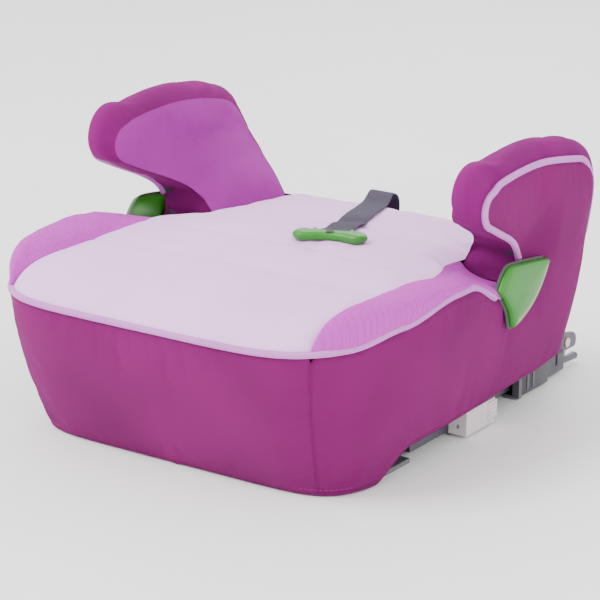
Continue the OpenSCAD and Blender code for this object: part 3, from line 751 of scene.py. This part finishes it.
def side_panel(name, side):
    """One cloth from the hem to the armrest's piping, over the seat's side and the armrest's outer face."""
    outer = [tuple(p) for p in COLUMNS[-1]]
    rim_line = [(y, rim(y)) for y in np.arange(74, y_at(FRONT_SEAM) + 2, -5)]
    seam_y = y_at(FRONT_SEAM)
    arm = [p for p in outer if p[1] > 150 or (p[0] > 150 and p[1] > 128)]
    base = [(y, hem(y)) for y in np.linspace(seam_y, REAR_Y, 76)]
    back_seam = [(REAR_Y, z) for z in np.arange(hem(REAR_Y) + 5, 127, 5)]
    front_seam = [(seam_y, z) for z in np.linspace(rim(seam_y), hem(seam_y), 27)[1:-1]]
    neck = [(82.5, 145.0), (82.0, 139.0), (81.0, 133.0), (79.0, 127.5)]
    loop = base + back_seam + [tuple(p) for p in reversed(arm)] + neck + rim_line + front_seam
    loop = np.array([(s_of_y(y), z) for y, z in loop])
    flat, faces, edge = cut_cloth(loop, 5.0)
    points = []
    for s, z in flat:
        p = skin(s, z)
        points.append((side * p[0], p[1], p[2]))
    uv = [(s / 10, z / 10) for s, z in flat]
    o = make("cover_side_" + name, points, faces, MAGENTA, "base", uv)
    face_towards(o, (side, 0, 0))
    held = [i for i, d in enumerate(edge) if d < 0.5]
    puff(o, held, 2.5, 2.5, slack=0.006)
    move = creases(0.35)
    nudge(o, lambda x, y, z: move(x, y, z) * (1 if z < 120 else 0.7))
    thicken(o)


def arm_panels(name, side):
    """The band round an armrest and the panel on its inner face."""
    points, uv = [], []
    for i in range(BAND_N):
        run = 0.0
        for j, s in enumerate(BAND_S):
            y, z = COLUMNS[j][i]
            x = mix(arm_in(z), out_x(y, z), s)
            points.append((side * x, y, z))
            if j:
                run += math.dist(points[-1], points[-2])
            uv.append((i * 5 / 10, run / 10))
    o = make("armrest_band_" + name, points, grid_faces(BAND_N, BAND_M), BAND, "base", uv, 1)
    middle = o.data.polygons[(BAND_M - 1) * (BAND_N // 2) + BAND_M // 2]
    if middle.normal.z < 0:
        o.data.flip_normals()
    held = [i * BAND_M + j for i in range(BAND_N) for j in range(BAND_M)
            if i in (0, BAND_N - 1) or j in (0, BAND_M - 1)]
    puff(o, held, 5, 2.5, slack=0.012)

    def folds(x, y, z):
        neck = smooth(178, 155, z) * smooth(120, 95, y)
        gather = math.sin(z / 3.6 + 1.6 * wave3((x, y, z), 26)) * (0.6 + 0.4 * wave3((x, y, z), 15, 4))
        return 0.3 * wave3((x, y, z), 22, side) + neck * 1.5 * gather
    nudge(o, folds)
    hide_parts("armrest_cover_" + name)

    loop = np.array([COLUMNS[0][i] for i in range(BAND_N)])
    bottom = [(y, ARM_FLOOR) for y in np.arange(loop[-1][0] - 5, loop[0][0] + 2, -5)]
    loop = np.concatenate([resample(loop, 4.2), np.array(bottom)])
    flat, faces, edge = cut_cloth(loop, 4.6)
    crown = [3.5 * (1 - math.exp(-d / 10)) for d in edge]
    points = [(side * (arm_in(z) - c), y, z) for (y, z), c in zip(flat, crown)]
    uv = [(y / 10, z / 10) for y, z in flat]
    inner = make("armrest_inner_" + name, points, faces, ORCHID, "base", uv)
    face_towards(inner, (-side, 0, 0))
    puff(inner, [i for i, d in enumerate(edge) if d < 0.5], 5, 4.0, slack=0.01)
    nudge(inner, lambda x, y, z: 0.5 * wave3((x, y, z), 30, side))


PIPING_R = 2.9


def pipings():
    """Piping round the rim, from one belt guide to the other, and along the outer seam of each armrest."""
    ring = []
    for s in np.linspace(-s_of_y(33), s_of_y(33), 260):
        y = y_at(s)
        p = skin(s, RIM_H, inset=0.4)
        ring.append((p[0], p[1], rim(y) + 1.9))
    cord = sweep("seat_piping_cord", ring, PIPING_R, PIPING, "base", sides=14)
    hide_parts("seat_piping")
    for name, side in SIDES:
        line = [(y, z) for y, z in COLUMNS[-1] if z > 149 or (y > 150 and z > 146)]
        path = []
        for y, z in resample(line, 2.6):
            sunk = 3.4 * smooth(150, 180, y) * smooth(232, 212, z)
            path.append((side * (out_x(y, z) + 1.2 - sunk), y, z))
        cord = sweep("armrest_piping_cord_" + name, path, PIPING_R, PIPING, "base", sides=14,
                     seed=side)
        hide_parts("armrest_piping_" + name)


def hems():
    """The rolled hem, and the row of stitches above it."""
    for name, side in SIDES:
        line = np.array([skin(side * s, hem(y_at(s)) + 5.5) for s in np.linspace(0, END, 420)])
        stitches("hem_stitch_" + name, line, lambda p: (p[0] / RIM_W ** 1.2, p[1] / RIM_F ** 1.2, -0.1),
                 THREAD, "base", thick=0.4)
        fold = [skin(side * s, hem(y_at(s)) + 1.4, inset=1.3) for s in np.linspace(0, END, 260)]
        sweep("hem_fold_" + name, fold, 1.7, MAGENTA, "base", sides=10, seed=side)


# ---------------------------------------------------------------- belt guides
GUIDE_Y, GUIDE_Z, GUIDE_R = 46.4, 176.7, 80.5     # centre and radius of a guide's curved lower edge


def guide_outline():
    """Outline of a belt guide in Y and Z: along the top, down the curved edge and back up the front."""
    top = [(34.5, 134.5), (41, 144), (48, 150.5), (52, 152), (60, 152), (88, 148.5), (116, 144.5),
           (118.2, 143)]
    foot = [(62, 97.5), (58, 97.5), (56.5, 101), (53.5, 112), (45, 124)]
    outline = top + arc(GUIDE_Y, GUIDE_Z, GUIDE_R, -27, -76, 12) + foot
    return resample(round_off(outline + outline[:1], 1)[:-1], 2.0)


def on_curve(y, z):
    """From 0 to 1, how far a point of the outline belongs to the curved edge."""
    from_centre = math.hypot(y - GUIDE_Y, z - GUIDE_Z)
    return smooth(GUIDE_R - 6, GUIDE_R - 3, from_centre) * smooth(58, 66, y) * smooth(146, 140, z)


def guide_piece(name, side, rings, caps, material):
    """A piece of a belt guide from rings, each an outline and its distance from the middle."""
    points = [(side * x, y, z) for ring, x in rings for y, z in ring]
    faces = grid_faces(len(rings), len(rings[0][0]), around=True) + caps
    o = make(name, points, faces, material, "base")
    bm = bmesh.new()
    bm.from_mesh(o.data)
    bmesh.ops.recalc_face_normals(bm, faces=bm.faces)
    bm.to_mesh(o.data)
    bm.free()
    return face_towards(o, (side, 0, 0))


def guide(name, side):
    """A green plate with a frosted bevel along its curved edge, and a dark sheet round it, painted shade in
    the gap.
    """
    loop = guide_outline()
    n = len(loop)
    centre = loop.mean(0)
    tangent = np.roll(loop, -1, 0) - np.roll(loop, 1, 0)
    normal = np.stack([tangent[:, 1], -tangent[:, 0]], 1)
    normal /= np.linalg.norm(normal, axis=1)[:, None]
    if ((loop + normal - centre) ** 2).sum() < ((loop - centre) ** 2).sum():
        normal = -normal
    # A dark ring just outside the guide's outline: painted shade in the gap round it.
    gap = loop + normal * 1.8
    rings = [(gap, 191.0), (gap, 192.9), (loop - normal, 192.9)]
    guide_piece("belt_guide_gap_shade_" + name, side, rings, [], PAINTED_SHADE)

    curved = np.array([on_curve(y, z) for y, z in loop])[:, None]
    face = loop - normal * (1.6 + 4.4 * curved)
    rings = [(loop, 192.0), (loop, 195.4), (loop - normal * 0.5, 196.2),
             (loop - normal * (1.0 + 3.6 * curved), 197.4), (face, 197.9)]
    for f in (0.8, 0.6, 0.4, 0.2, 0.06):
        rings.append((centre + (face - centre) * f, 197.9 + 1.5 * (1 - f ** 2)))
    caps = [tuple(range((len(rings) - 1) * n, len(rings) * n)), tuple(range(n))]
    o = guide_piece("belt_guide_shape_" + name, side, rings, caps, GREEN)
    o.data.materials.append(FROST)
    for p in o.data.polygons:
        c = p.center * 1000
        nearest = int(np.argmin(((loop - np.array([c.y, c.z])) ** 2).sum(1)))
        if curved[nearest, 0] > 0.4 and n <= p.index < 4 * n:
            p.material_index = 1
    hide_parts(*(["belt_guide_left", "guide_screws"] if side > 0 else ["belt_guide_right"]))


# ---------------------------------------------------------------- clip and strap
TURN = math.radians(19.5)              # direction of the strap from the clip
CLIP = np.array([33.0, 27.0, 158.0])   # middle of the clip
BAR_Y = 11.5                           # from the clip's middle to its bar
STRAP_HALF = 13                        # half the width of the webbing
# Y and Z of the strap's middle line, from the clip to the anchor.
ROUTE = [(41.5, 158.5), (52, 156.5), (66, 153), (84, 149.8), (110, 146.8), (140, 143.4), (165, 141.2),
         (180, 141), (193, 142.4), (203, 145), (212, 146.4), (219, 144.6), (223, 140), (224, 132),
         (222.5, 121), (220.4, 106), (218.6, 92), (217.8, 80)]


def clip_point(x, y, z):
    """A point given in the clip's own directions."""
    c, s = math.cos(TURN), math.sin(TURN)
    return CLIP[0] + x * c - y * s, CLIP[1] + x * s + y * c, CLIP[2] + z


def clip():
    """A bone-shaped clip: two lobes, a waist, and two horns that carry the bar for the strap."""
    n, m = 61, 28
    points = []
    for i in range(n):
        t = -1 + 2 * i / (n - 1)
        x = 33 * math.sin(t * math.pi / 2)
        lobe = math.exp(-((abs(x) - 24) / 10) ** 2)
        end = math.sqrt(max(0, 1 - max(0, (abs(x) - 24) / 9.01) ** 2))
        wide = (4.9 + 4.6 * lobe) * end
        high = (4.0 + 0.9 * lobe) * end
        y0 = 0.4 + 1.2 * math.exp(-(x / 12) ** 2)
        for k in range(m):
            w = 2 * math.pi * k / m
            groove = 0.7 * math.exp(-((abs(x) - 23) / 5) ** 2) * max(0, math.sin(w)) ** 6
            points.append(clip_point(x, y0 + wide * spow(math.cos(w), 0.8),
                                     high * spow(math.sin(w), 0.75) - groove))
    faces = grid_faces(n, m, around=True, flip=True)
    body = make("belt_clip_shape", points, faces, GREEN, "belt_clip", None, 1)
    pieces = [body]
    for name, side in SIDES:
        horn = ((2, -0.6), (6, -0.6), (9, -0.3), (BAR_Y, 0), (13.2, 0.2))
        line = resample(round_off([clip_point(side * 16.5, y, z) for y, z in horn], 2), 0.8)
        pieces.append(sweep("belt_clip_horn_" + name, line, 2.5, GREEN, "belt_clip",
                            sides=12, flat=1.25, up=(0, 0, 1)))
    bar = [clip_point(x, BAR_Y, 0) for x in np.linspace(-17, 17, 24)]
    pieces.append(sweep("belt_clip_bar", bar, 2.1, GREEN, "belt_clip", sides=14))
    # A flat dark sheet on the clip's top: painted shade in its notch.
    reach = 3.2
    notch = [clip_point(x, 0.2, 3.9 + 0.5 * math.cos(x / reach * math.pi / 2))
             for x in np.linspace(-reach, reach, 9)]
    pieces.append(sweep("belt_clip_notch_shade", notch, 2.6, PAINTED_SHADE, "belt_clip", sides=12,
                        flat=0.32, up=(0, 0, 1)))
    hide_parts("belt_clip")
    return pieces


def strap_x(y):
    """The strap runs straight across the seat, and straight down behind it."""
    return CLIP[0] - (min(y, 214) - CLIP[1]) * math.tan(TURN)


def webbing(pad, fittings):
    """Flat webbing from the clip's bar over the back edge and down to its anchor."""
    tree = BVHTree.FromObject(pad, bpy.context.evaluated_depsgraph_get())

    def rest(x, y, z):
        """The webbing lies on the pad, wherever its route would pass through it."""
        high = []
        for across in (-12, 0, 12):
            at = Vector(((x + across * math.cos(TURN)) / 1000, (y + across * math.sin(TURN)) / 1000, 0.3))
            hit = tree.ray_cast(at, Vector((0, 0, -1)))[0]
            high.append(hit.z * 1000 if hit else 0)
        return (x, y, max(z, max(high) + 1.3) if y < 208 and z > 130 else z)

    line = resample(round_off([rest(strap_x(y), y, z) for y, z in resample(ROUTE, 8)], 2), 2.2)
    n, m = len(line), 15
    points, uv = [], []
    run = 0.0
    for i, p in enumerate(line):
        a, b = line[max(0, i - 1)], line[min(n - 1, i + 1)]
        t = (b - a) / np.linalg.norm(b - a)
        w = TURN * (1 - smooth(150, 212, p[1]))
        across = np.array([math.cos(w), math.sin(w), 0])
        up = np.cross(across, t)
        up = up / np.linalg.norm(up)
        if i:
            run += np.linalg.norm(p - line[i - 1])
        for layer in (1, -1):
            for j in range(m):
                f = -1 + 2 * j / (m - 1)
                thick = 0.72 * math.sqrt(max(0.05, 1 - abs(f) ** 8))
                cupped = 0.8 * (f * f - 0.4) * wave3(p, 26, 3)
                points.append(p + across * STRAP_HALF * f + up * (layer * thick + cupped))
                uv.append((STRAP_HALF * f / 10, run / 10))
    faces = []
    for i in range(n - 1):
        a, b = i * 2 * m, (i + 1) * 2 * m
        for j in range(m - 1):
            faces.append((a + j, a + j + 1, b + j + 1, b + j))
            faces.append((a + m + j, b + m + j, b + m + j + 1, a + m + j + 1))
        faces.append((a, b, b + m, a + m))
        faces.append((a + m - 1, a + 2 * m - 1, b + 2 * m - 1, b + m - 1))
    for c in (0, n - 1):
        for j in range(m - 1):
            k = c * 2 * m + j
            faces.append((k, k + 1, k + m + 1, k + m) if c else (k, k + m, k + m + 1, k + 1))
    strap = make("belt_strap_webbing", points, faces, WEB, "base", uv)
    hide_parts("belt_strap")


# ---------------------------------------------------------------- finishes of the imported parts
def dress():
    """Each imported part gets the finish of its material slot, and its sharp edges are broken."""
    finish = {"dark_plastic": DARK, "rubber": RUBBER, "screw_steel": BRIGHT, "foam": FOAM,
              "guide_plastic": GREEN, "coated_steel": STEEL, "grey_plastic": GREY, "bright_steel": BRIGHT,
              "rivet": RIVET, "latch_plastic": DARK, "webbing": WEB, "pad_fabric": PAD,
              "bolster_fabric": MELANGE, "cover_fabric": MAGENTA, "piping": PIPING}
    slots = {sub["node"]: sub["material_slot"] for sub in frame["record"]["subparts"]}
    for n, o in NODES.items():
        material = finish.get(slots.get(n), DARK)
        o.data.materials.clear()
        o.data.materials.append(material)
        if o.hide_render:
            continue
        weld = o.modifiers.new("weld", "WELD")
        weld.merge_threshold = 0.00002
        bevel = o.modifiers.new("edges", "BEVEL")
        bevel.width, bevel.segments, bevel.limit_method = 0.0006, 2, "ANGLE"
        bevel.angle_limit = math.radians(32)


pad = seat_top()
for name, side in SIDES:
    bolster_top(name, side)
    side_panel(name, side)
    arm_panels(name, side)
    guide(name, side)
skirt()
pipings()
hems()
webbing(pad, clip())
dress()

floor_points = [(x, y, -0.4) for y in (-4000, 4000) for x in (-4000, 4000)]
floor_me = bpy.data.meshes.new("studio_floor")
floor_me.from_pydata([tuple(0.001 * c for c in p) for p in floor_points], [], [(0, 1, 3, 2)])
floor = bpy.data.objects.new("studio_floor", floor_me)
bpy.context.scene.collection.objects.link(floor)
paper = Finish("floor_paper", 0.85)
paper.color(paper.ramp(paper.noise("Object", 3.0), [(0.3, (0.90, 0.90, 0.90)), (0.7, (0.94, 0.94, 0.94))]))
floor.data.materials.append(paper.material)
